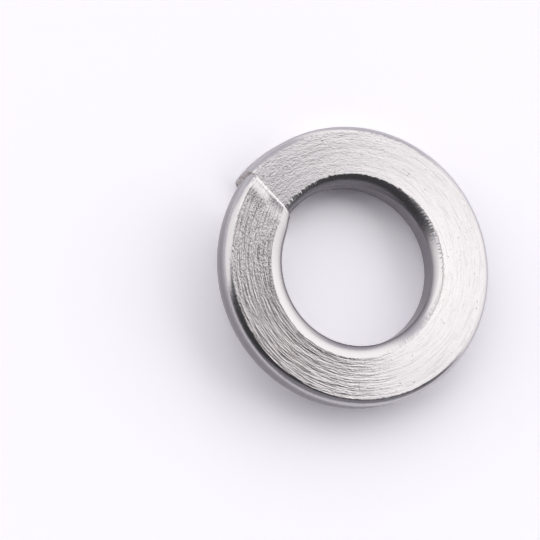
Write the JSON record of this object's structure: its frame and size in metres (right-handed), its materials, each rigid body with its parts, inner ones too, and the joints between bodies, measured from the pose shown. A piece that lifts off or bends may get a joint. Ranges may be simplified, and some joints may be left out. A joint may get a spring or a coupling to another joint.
{
  "type": "spring lock washer",
  "caption": "Split spring washer: flat-sided steel wire wound into a single left-hand turn, with rounded edges, a clear bore and two slant-sheared ends that stand one above the other.",
  "frame": {"origin": "on the bore's axis, level with the lowest edge of the low end", "axes": "+Z along the bore's axis, from the low end up to the raised end; the split lies midway between -X and +Y"},
  "size_m": [0.018, 0.018, 0.0041],
  "materials": {
    "steel": "satin"
  },
  "bodies": {
    "root": {"lock_washer": "steel"}
  },
  "joints": []
}
